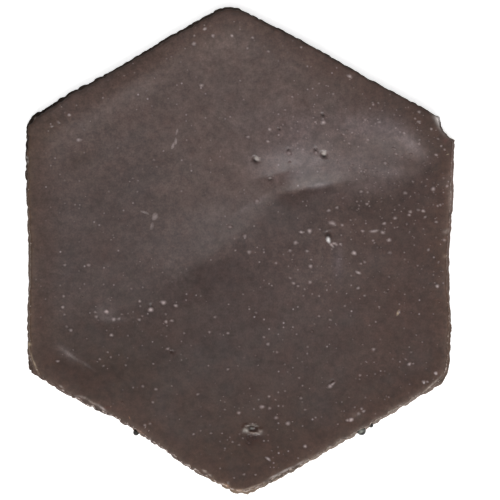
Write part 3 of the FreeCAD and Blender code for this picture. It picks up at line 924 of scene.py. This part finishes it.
# The pimples. Bubbles that rose through the melt froze just under its skin: each is a low dome of
# the same glaze, paler at its top where the skin is thin, and some carry a streak of dust.
# Each has its place in the photo, its radius, its height and how pale it is.
PIMPLES = [
    ((205, 29), 0.7, 0.20, 0.5), ((213, 36), 0.7, 0.18, 0.45), ((232, 36), 0.6, 0.16, 0.45),
    ((252.5, 38), 0.6, 0.16, 0.45), ((194, 44), 0.8, 0.22, 0.5), ((201.5, 85.5), 0.7, 0.20, 0.5),
    ((204.5, 25.5), 0.4, 0.10, 0.3), ((194.5, 36), 0.5, 0.10, 0.3), ((247.5, 48.5), 0.6, 0.14, 0.3),
    ((268.5, 51.5), 0.6, 0.14, 0.3), ((301, 47.5), 0.5, 0.14, 0.5), ((319, 83.5), 0.5, 0.12, 0.3),
    ((240, 81), 0.5, 0.12, 0.3), ((349.5, 76.5), 0.9, 0.28, 0.5), ((333, 94), 0.6, 0.14, 0.3),
    ((69.5, 115), 0.7, 0.18, 0.5), ((58.5, 122), 0.7, 0.10, 0.15), ((52, 126), 0.7, 0.10, 0.12),
    ((118, 148), 0.5, 0.12, 0.25), ((154, 160), 0.5, 0.12, 0.2), ((89, 265), 0.7, 0.18, 0.35),
    ((323, 122.5), 0.9, 0.25, 0.6), ((379, 122), 0.7, 0.18, 0.4), ((365, 120), 0.6, 0.16, 0.3),
    ((248, 137), 0.7, 0.18, 0.4), ((269.5, 129.5), 0.7, 0.18, 0.4), ((268, 141.5), 0.6, 0.18, 0.5),
    ((280, 143), 0.5, 0.12, 0.2), ((289, 153.5), 0.8, 0.24, 0.2), ((316, 153), 0.7, 0.22, 0.3),
    ((368, 140), 0.6, 0.14, 0.3), ((396, 154), 0.7, 0.18, 0.4), ((404, 133), 0.6, 0.14, 0.3),
    ((402, 157), 0.5, 0.14, 0.3), ((419, 112), 0.6, 0.14, 0.4), ((419, 122), 0.6, 0.14, 0.35),
    ((431, 129), 0.6, 0.16, 0.5), ((419, 144), 0.6, 0.14, 0.4), ((436, 155), 0.6, 0.14, 0.5),
    ((441, 146), 0.5, 0.14, 0.4), ((257, 201), 0.9, 0.20, 0.25), ((270, 178), 0.6, 0.14, 0.2),
    ((328.5, 210.5), 0.7, 0.20, 0.4), ((337, 207.5), 0.6, 0.18, 0.4), ((230, 227), 0.9, 0.20, 0.25),
    ((245, 236), 0.8, 0.20, 0.35), ((249, 252), 0.8, 0.20, 0.35),
    ((342, 225), 0.7, 0.16, 0.4), ((336, 244.5), 0.6, 0.14, 0.4), ((340.5, 244), 0.6, 0.18, 0.5),
    ((309.5, 231), 0.9, 0.25, 0.6), ((295.5, 242.5), 0.8, 0.20, 0.45),
    ((307, 251), 0.7, 0.16, 0.35), ((311, 259.5), 0.5, 0.12, 0.3), ((310.5, 266), 0.8, 0.22, 0.5),
    ((276, 263), 0.6, 0.16, 0.35), ((310, 282), 0.7, 0.18, 0.4), ((293.5, 283), 0.7, 0.18, 0.4),
    ((298, 286), 0.6, 0.16, 0.4), ((304.5, 289), 0.5, 0.12, 0.3), ((290, 278), 0.6, 0.16, 0.35),
    ((354, 253), 0.8, 0.30, 0.8), ((358, 288), 0.7, 0.22, 0.7), ((362.5, 231), 0.7, 0.20, 0.5),
    ((382.5, 232.5), 0.8, 0.24, 0.6), ((389, 240), 0.8, 0.18, 0.45),
    ((384, 223.5), 0.7, 0.18, 0.5), ((373, 240.5), 0.6, 0.14, 0.35), ((389.5, 252.5), 0.8, 0.14, 0.25),
    ((364.5, 262), 0.6, 0.12, 0.3), ((361, 263.5), 0.6, 0.12, 0.3), ((395, 218), 0.7, 0.18, 0.4),
    ((409, 215), 0.7, 0.18, 0.45), ((423, 211), 0.7, 0.18, 0.45), ((433, 189), 0.8, 0.20, 0.5),
    ((437, 286), 0.8, 0.22, 0.7), ((399, 312), 0.6, 0.16, 0.4), ((364.5, 295.5), 0.5, 0.12, 0.3),
    ((319, 296), 0.5, 0.12, 0.3), ((319, 316), 0.6, 0.16, 0.3), ((65, 265), 0.6, 0.14, 0.3),
    ((64, 296), 0.6, 0.14, 0.35), ((63, 307), 0.6, 0.16, 0.5), ((71, 330), 0.7, 0.18, 0.5),
    ((67, 326.5), 0.6, 0.12, 0.3), ((95.5, 312), 0.6, 0.12, 0.3), ((96.5, 316.5), 0.7, 0.12, 0.3),
    ((106.8, 311.5), 0.8, 0.22, 0.6), ((114, 319), 0.8, 0.16, 0.4), ((119, 318.5), 0.7, 0.12, 0.3),
    ((122, 314), 0.5, 0.10, 0.25), ((111.5, 335), 0.7, 0.18, 0.45), ((140, 301), 0.6, 0.16, 0.4),
    ((140.5, 306), 0.5, 0.12, 0.3), ((151, 309.5), 0.9, 0.30, 0.8), ((139.5, 319.5), 0.6, 0.12, 0.3),
    ((142.5, 316), 0.5, 0.12, 0.25), ((163.5, 302.5), 0.9, 0.28, 0.7), ((176, 305.5), 0.8, 0.26, 0.6),
    ((166, 321.5), 0.7, 0.18, 0.45), ((172, 320.5), 0.7, 0.18, 0.45), ((166, 314), 0.5, 0.12, 0.3),
    ((168, 348.5), 0.7, 0.18, 0.4), ((228, 333), 0.6, 0.16, 0.35), ((264, 337), 0.6, 0.16, 0.35),
    ((268, 344), 0.7, 0.18, 0.4), ((277, 352), 0.6, 0.16, 0.35), ((228, 369), 0.6, 0.16, 0.4),
    ((330, 386), 0.9, 0.22, 0.6), ((262, 406.5), 0.9, 0.20, 0.5), ((269.5, 408), 0.7, 0.14, 0.3),
    ((239, 412.5), 0.7, 0.16, 0.4), ((276, 417.5), 0.8, 0.18, 0.45), ((288, 423), 0.9, 0.22, 0.5),
    ((211, 433), 0.5, 0.12, 0.3), ((255.5, 474.5), 0.5, 0.14, 0.35), ((244, 474), 0.5, 0.12, 0.3),
    ((228, 482), 0.7, 0.12, 0.15), ((305, 446), 0.7, 0.18, 0.5), ((409, 364), 0.8, 0.22, 0.6),
    ((413, 363.5), 0.5, 0.12, 0.35), ((405.5, 359), 0.5, 0.12, 0.3), ((416, 335), 0.5, 0.12, 0.25),
    ((411, 352), 0.6, 0.12, 0.2), ((435.5, 373), 0.7, 0.06, 0.6), ((423.5, 381.5), 0.7, 0.14, 0.35),
    ((427, 381.5), 0.6, 0.12, 0.3), ((351, 419.5), 0.9, 0.20, 0.9), ((347.5, 420), 0.7, 0.12, 0.4),
    ((358.5, 413.5), 0.7, 0.14, 0.4), ((363.5, 411), 0.7, 0.14, 0.5), ((361.5, 408.5), 0.6, 0.12, 0.4),
    ((143, 386), 0.6, 0.14, 0.35), ((156, 389), 0.6, 0.14, 0.35), ((153, 402), 0.5, 0.12, 0.3),
    ((145, 425), 0.6, 0.12, 0.35), ((58, 361), 0.6, 0.12, 0.4), ((108, 352), 0.5, 0.12, 0.3),
    ((111, 357), 0.5, 0.12, 0.3), ((100, 359), 0.5, 0.12, 0.3), ((126, 365), 0.5, 0.12, 0.3),
    ((79, 140), 0.9, 0.16, 0.5), ((290, 250.5), 0.7, 0.16, 0.35), ((330, 319.5), 0.6, 0.14, 0.3),
    ((373.5, 349), 0.7, 0.16, 0.35), ((360, 375), 0.6, 0.14, 0.3), ((301, 398), 0.7, 0.16, 0.35),
    ((299, 377.5), 0.5, 0.12, 0.3), ((198, 394), 0.6, 0.14, 0.35), ((256, 312.5), 0.6, 0.12, 0.3),
    ((385, 163), 0.7, 0.16, 0.35), ((405, 193), 0.7, 0.16, 0.35), ((361, 191.5), 0.7, 0.16, 0.35),
    ((366.7, 204), 0.7, 0.16, 0.35), ((410, 211.7), 0.7, 0.16, 0.4), ((418, 210), 0.6, 0.16, 0.4),
    ((425, 217), 0.6, 0.14, 0.4), ((447, 186), 0.6, 0.12, 0.4), ((440, 205), 0.6, 0.12, 0.35),
    ((436, 222), 0.6, 0.12, 0.4), ((444, 240), 0.6, 0.12, 0.4), ((428, 250), 0.6, 0.12, 0.35),
]

# Long pimples, streaks of dust and scratches: place, direction, half length, half width, height, how
# pale, colour
PIMPLE_PALE = "#B8A8A6"
STREAKS = [
    ((328.3, 239.8), -75, 1.8, 1.15, 0.35, 1.0, "#F0ECEA"),
    ((331.5, 245), -45, 1.9, 0.8, 0.15, 0.6, "#B8A8A6"),
    ((334.5, 243.5), -10, 1.6, 0.8, 0.15, 0.6, "#B8A8A6"),
    ((301.5, 232), -5, 1.5, 0.8, 0.25, 0.8, PIMPLE_PALE),
    ((374, 231), 8, 2.6, 0.9, 0.25, 0.7, PIMPLE_PALE),
    ((332, 223), -15, 2.2, 1.3, 0.25, 0.55, PIMPLE_PALE),
    ((398, 312.5), 65, 1.8, 0.8, 0.12, 0.8, "#B4A088"),
    ((331, 385), 35, 2.6, 0.8, 0.15, 0.8, PIMPLE_PALE),
    ((358, 272.5), -25, 1.7, 0.8, 0.12, 0.7, PIMPLE_PALE),
    ((175.8, 141.5), 85, 2.6, 1.0, 0.02, 0.35, PIMPLE_PALE),
    ((173, 146), 70, 2.6, 1.0, 0.02, 0.35, PIMPLE_PALE),
    ((177, 132), 75, 2.4, 0.8, 0.02, 0.2, PIMPLE_PALE),
    ((145, 212.5), -20, 3.2, 0.9, 0.02, 0.25, PIMPLE_PALE),
    ((155, 216.5), 60, 2.6, 1.8, 0.03, 0.3, PIMPLE_PALE),
    ((152, 226), 75, 2.8, 1.3, 0.02, 0.2, PIMPLE_PALE),
    ((268, 458.5), -35, 1.8, 0.8, 0.08, 0.7, PIMPLE_PALE),
    ((129.7, 417.5), -66, 1.2, 0.3, 0.04, 0.5, "#A4785C"),
    ((111, 406.3), 0, 0.5, 0.45, 0.08, 0.6, "#93786E"),
    ((145.5, 427), 65, 0.9, 0.3, 0.05, 0.5, PIMPLE_PALE),
    ((149, 430.5), 60, 0.6, 0.3, 0.05, 0.5, PIMPLE_PALE),
    ((447.3, 154.5), 20, 1.0, 0.35, 0.05, 0.7, "#B4A48C"),
]

# The finest ones lie at random, thickest in a few crowds: place in the photo, radius, weight.
FINE_PIMPLES = 470
FINE_RADII = (0.4, 0.85)
FINE_RISE = 0.3
FINE_PALE = (0.1, 0.5)
WIDER = 1.4
STEEPER = 1.4
PALER = 1.25
PALE_SPREAD = 0.5
SHADED = 0.4
STRETCH = (1.0, 1.35)
SQUEEZE = (0.8, 1.05)
SMALLER = (0.6, 1.0)
LOBE = 0.08
TURN = 30.0
TRIES = 20
RIM_MARGIN = 1.0
CRATER_MARGIN = 0.001
CROWDS = [
    ((410, 170), 22.0, 1.5), ((352, 122), 15.0, 1.0), ((375, 270), 26.0, 0.45), ((110, 320), 16.0, 0.2),
    ((280, 400), 24.0, 0.2),
]
CROWD_FLOOR = 0.055
CLEARANCE = 0.02
DOME_RINGS = (0.3, 0.55, 0.8, 1.0)
DOME_SIDES = 10
SUNK = 0.03

random = np.random.default_rng(4)
pimple_places = np.array([from_photo(entry[0]) for entry in PIMPLES])
pimple_sizes = np.array([entry[1:] for entry in PIMPLES])
streak_sizes = np.array([entry[1:6] for entry in STREAKS])
tries = random.uniform(-reach, reach, size=(TRIES * FINE_PIMPLES, 2))
weight = np.full(len(tries), CROWD_FLOOR)
for crowd_place, crowd_reach, crowd_weight in CROWDS:
    distance = np.linalg.norm(tries - from_photo(crowd_place), axis=1)
    weight += crowd_weight * np.exp(-((distance / crowd_reach) ** 2))
on_face = np.linalg.norm(tries, axis=1) < reach_of(rim_loop, tries) - RIM_MARGIN
on_face &= np.abs(crater_height(tries)) < CRATER_MARGIN
fine_places = tries[on_face & (random.uniform(0, 1, len(tries)) < weight)][:FINE_PIMPLES]
fine_radii = random.uniform(*FINE_RADII, len(fine_places)) * random.uniform(*SMALLER, len(fine_places))
places = np.concatenate([pimple_places, fine_places, [from_photo(entry[0]) for entry in STREAKS]])
radii = np.concatenate([WIDER * pimple_sizes[:, 0], fine_radii])
rises = np.concatenate([STEEPER * pimple_sizes[:, 1], FINE_RISE * fine_radii, streak_sizes[:, 3]])
rises =np.minimum(rises, cad_box[1][2] / MM - CLEARANCE - rolling_height(places))
fine_pale = random.uniform(*FINE_PALE, len(fine_places))
listed_pale = np.minimum(PALER * pimple_sizes[:, 2], 1)
paleness = np.concatenate([listed_pale, fine_pale, streak_sizes[:, 4]])
half_lengths = np.concatenate([radii * random.uniform(*STRETCH, len(radii)), streak_sizes[:, 1]])
half_widths = np.concatenate([radii * random.uniform(*SQUEEZE, len(radii)), streak_sizes[:, 2]])
headings = np.radians(np.concatenate([random.uniform(-TURN, TURN, len(radii)), streak_sizes[:, 0]]))
lobes = random.uniform(0, 2 * np.pi, len(places))

# Each dome is an oval with three faint lobes, and its height falls as a raised cosine from its top
# to its rim, which lies a little below the glaze. A flat underside closes it.
angles = np.arange(DOME_SIDES) / DOME_SIDES * 2 * np.pi
lobed = 1 + LOBE * np.cos(3 * angles - lobes[:, None])
spans = np.array(DOME_RINGS)[None, :, None] * lobed[:, None, :]
along = spans * np.cos(angles) * half_lengths[:, None, None]
across = spans * np.sin(angles) * half_widths[:, None, None]
cosines = np.cos(headings)[:, None, None]
sines = np.sin(headings)[:, None, None]
dome_plan = np.stack([along * cosines - across * sines, along * sines + across * cosines], axis=-1)
dome_plan = (dome_plan + places[:, None, None, :]).reshape(len(places), -1, 2)
dome_plan = np.concatenate([places[:, None, :], dome_plan, places[:, None, :]], axis=1)
ring_shares = np.concatenate([[0], np.repeat(DOME_RINGS, DOME_SIDES), [1]])
flat_plan = dome_plan.reshape(-1, 2)
surface = rolling_height(flat_plan) + crater_height(flat_plan)
dome_rise = rises[:, None] * (1 + np.cos(np.pi * ring_shares)) / 2 - SUNK * ring_shares ** 2
dome_rise[:, -1] -= SUNK
dome_points = np.column_stack([flat_plan, surface + dome_rise.ravel()])
under = 1 + len(DOME_RINGS) * DOME_SIDES
dome_triangles = [fan(0, 1, DOME_SIDES), fan(under, under - DOME_SIDES, DOME_SIDES)[:, ::-1]]
for inner in range(1, under - DOME_SIDES, DOME_SIDES):
    dome_triangles.append(band(inner, inner + DOME_SIDES, DOME_SIDES))
dome_triangles = np.concatenate(dome_triangles)
dome_triangles = (dome_triangles + (under + 1) * np.arange(len(places))[:, None, None]).reshape(-1, 3)

# A dome is palest at its top, and painted shade darkens the foot of its far side, away from the key
# lamp.
dome_colours = glaze_colour(flat_plan)
foot_share = (dome_plan[:, :, 1] - places[:, None, 1]) / half_widths[:, None]
far_side_shade = SHADED * paleness[:, None] * smooth(foot_share, 0.2, 0.6) * (1 - smooth(foot_share, 0.7, 1.0))
dome_colours = painted(dome_colours, far_side_shade.ravel(), PAINTED_SHADE)
tints = np.array([linear(PIMPLE_PALE)] * len(radii) + [linear(entry[6]) for entry in STREAKS])
share = (paleness[:, None] * np.exp(-((ring_shares / PALE_SPREAD) ** 2))).ravel()
dome_colours = mixed(dome_colours, share, np.repeat(tints, under + 1, axis=0))
no_clay = np.zeros(len(dome_points))
pimples = make_piece("glaze_pimples", dome_points, dome_triangles, dome_colours, no_clay)
pimples.data.materials.append(glaze)
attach(pimples, "root")

# The beads. Glaze that ran over the rim hung on the lower walls and set there as black glass: each
# is a half ball on a short stem, rooted its own radius deep in the wall.
# Each has its side, its share of the way along it, its radius, how far it stands out, and its depth.
BEADS = [
    ("lower_left", 0.50, 1.1, 1.2, 5.0),
    ("lower_right", 0.585, 1.6, 1.5, 4.0),
    ("lower_right", 0.64, 0.8, 0.8, 3.0),
]
BEAD_ROWS = 12
BEAD_SIDES = 32

# Painted highlights on the glass of the beads, pale where a lamp would shine in them: place in the
# photo, direction, half length, half width, share and colour
BEAD_HIGHLIGHTS = [
    ((361.5, 431.5), 25, 0.9, 0.4, 0.9, "#9A9C94"),
    ((370.5, 425), 25, 0.3, 0.2, 0.6, "#8A8C84"),
]

bead_points = []
bead_triangles = []
turns = np.arange(BEAD_SIDES) / BEAD_SIDES * 2 * np.pi
bow = np.linspace(np.pi / 2, 0, BEAD_ROWS, endpoint=False)
for name, share, radius, stand_out, depth in BEADS:
    number = [side_name for side_name, _, _ in SIDES].index(name)
    starts, ends, run_along, run_out, _, _ = sides_at(1 - depth / THICKNESS)
    foot = starts[number] + (ends[number] - starts[number]) * share - middle
    foot = foot + run_out[number] * stray(SIDES[number][2], np.array([share]))
    # The profile runs from the root, along the stem and round the half ball to its tip.
    out = np.concatenate([[-radius], stand_out - radius + radius * np.cos(bow)])
    width = np.concatenate([[radius], radius * np.sin(bow)])
    rings = np.stack([np.outer(width, np.cos(turns)), np.outer(width, np.sin(turns))], axis=-1)
    rings = rings.reshape(-1, 2)
    forward = np.repeat(out, BEAD_SIDES)[:, None]
    plan_points = foot + run_out[number] * forward + run_along[number] * rings[:, :1]
    heights = THICKNESS - depth + rings[:, 1:]
    ends_plan = foot + run_out[number] * np.array([[-radius], [stand_out]])
    ends_points = np.column_stack([ends_plan, np.full(2, THICKNESS - depth)])
    start = sum(len(each) for each in bead_points)
    bead_points.append(np.concatenate([np.column_stack([plan_points, heights]), ends_points]))
    root = start + len(rings)
    last = root - BEAD_SIDES
    for low in range(start, last, BEAD_SIDES):
        bead_triangles.append(band(low, low + BEAD_SIDES, BEAD_SIDES)[:, ::-1])
    bead_triangles.append(fan(root, start, BEAD_SIDES)[:, ::-1])
    bead_triangles.append(fan(root + 1, last, BEAD_SIDES))
bead_points = np.concatenate(bead_points)
bead_triangles = np.concatenate(bead_triangles)
bead_colours = np.tile(linear("#24211F"), (len(bead_points), 1))
bead_colours = patched(bead_colours, bead_points[:, :2], BEAD_HIGHLIGHTS)
beads = make_piece("glaze_beads", bead_points, bead_triangles, bead_colours, np.zeros(len(bead_points)))

# The finish of the beads: thick glaze, glossy and nearly black.
glass, tree, shader, place = new_finish("black_glass_glaze")
poured = add(tree, "Attribute", {"attribute_name": "glaze_colour"})["Color"]
cloud = add(tree, "TexNoise", Vector=place, Scale=scale_of(1.1), Detail=3.0)["Fac"]
cloud = add(tree, "MapRange", _0=cloud, _1=0.45, _2=0.65, _3=0.0, _4=0.5)[0]
colour = add(tree, "MixRGB", _0=cloud, _1=poured, _2=linear("#7A7C76"))[0]
fill(tree, shader, Base_Color=colour, Roughness=0.15, IOR=1.5)
beads.data.materials.append(glass)
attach(beads, "root")

# The studio. A white floor, a small soft lamp high up on the side of the bottom corner, which gives
# the glaze its sheen, and a broad one overhead for the plain level of the light.
FLOOR_HALF = 4.0
FLOOR_DROP = 0.00002
FLOOR_LIFT = 0.7
SKY = 0.2
floor_mesh = bpy.data.meshes.new("floor")
floor_corners = [
    (x * FLOOR_HALF, y * FLOOR_HALF, -FLOOR_DROP)
    for x, y in ((-1, -1), (1, -1), (1, 1), (-1, 1))
]
floor_mesh.from_pydata(floor_corners, [], [(0, 1, 2, 3)])
floor = bpy.data.objects.new("floor", floor_mesh)
bpy.context.collection.objects.link(floor)
paper, tree, shader, _ = new_finish("white_paper")
rays = add(tree, "LightPath")
seen = rays["Is Camera Ray"]
for ray in ("Is Glossy Ray", "Is Transmission Ray"):
    seen = add(tree, "Math", {"operation": "MAXIMUM"}, _0=seen, _1=rays[ray])[0]
lift = add(tree, "Math", {"operation": "MULTIPLY"}, _0=seen, _1=FLOOR_LIFT)[0]
fill(tree, shader, Base_Color=linear("#F2F2F2"), Roughness=0.9)
fill(tree, shader, Emission_Color=(1, 1, 1, 1), Emission_Strength=lift)
floor_mesh.materials.append(paper)

world = bpy.data.worlds.new("studio")
bpy.context.scene.world = world
world.use_nodes = True
fill(world.node_tree, world.node_tree.nodes["Background"], Color=(1, 1, 1, 1), Strength=SKY)


def lamp(name, place, size, power):
    """Square area lamp that faces the tile and isn't seen by the camera."""
    data = bpy.data.lights.new(name, "AREA")
    data.shape = "RECTANGLE"
    data.size, data.size_y = size
    data.energy = power
    holder = bpy.data.objects.new(name, data)
    bpy.context.collection.objects.link(holder)
    holder.location = place
    holder.rotation_mode = "QUATERNION"
    holder.rotation_quaternion = (-holder.location).to_track_quat("-Z", "Y")
    holder.visible_camera = False
    return holder


lamp("key", (0.2, -0.85, 4.1), (0.4, 0.4), 13.0)
overhead = lamp("overhead", (0.0, -0.15, 0.62), (0.4, 0.4), 3.5)
overhead.visible_glossy = False

# The camera looks straight down through a very long lens, because the photo shows next to no
# perspective. The tile is a little off the middle of the picture, as it is there.
LENS = 1000.0
SENSOR = 36.0
PICTURE = 500
camera_data = bpy.data.cameras.new("camera")
camera_data.lens = LENS
camera_data.sensor_width = SENSOR
camera = bpy.data.objects.new("camera", camera_data)
bpy.context.collection.objects.link(camera)
aim = from_photo((PICTURE / 2, PICTURE / 2)) * MM
distance = PICTURE * PIXEL * MM * LENS / SENSOR
camera.location = (aim[0], aim[1], distance + THICKNESS / 2 * MM)
bpy.context.scene.camera = camera
bpy.context.scene.view_settings.view_transform = "Standard"
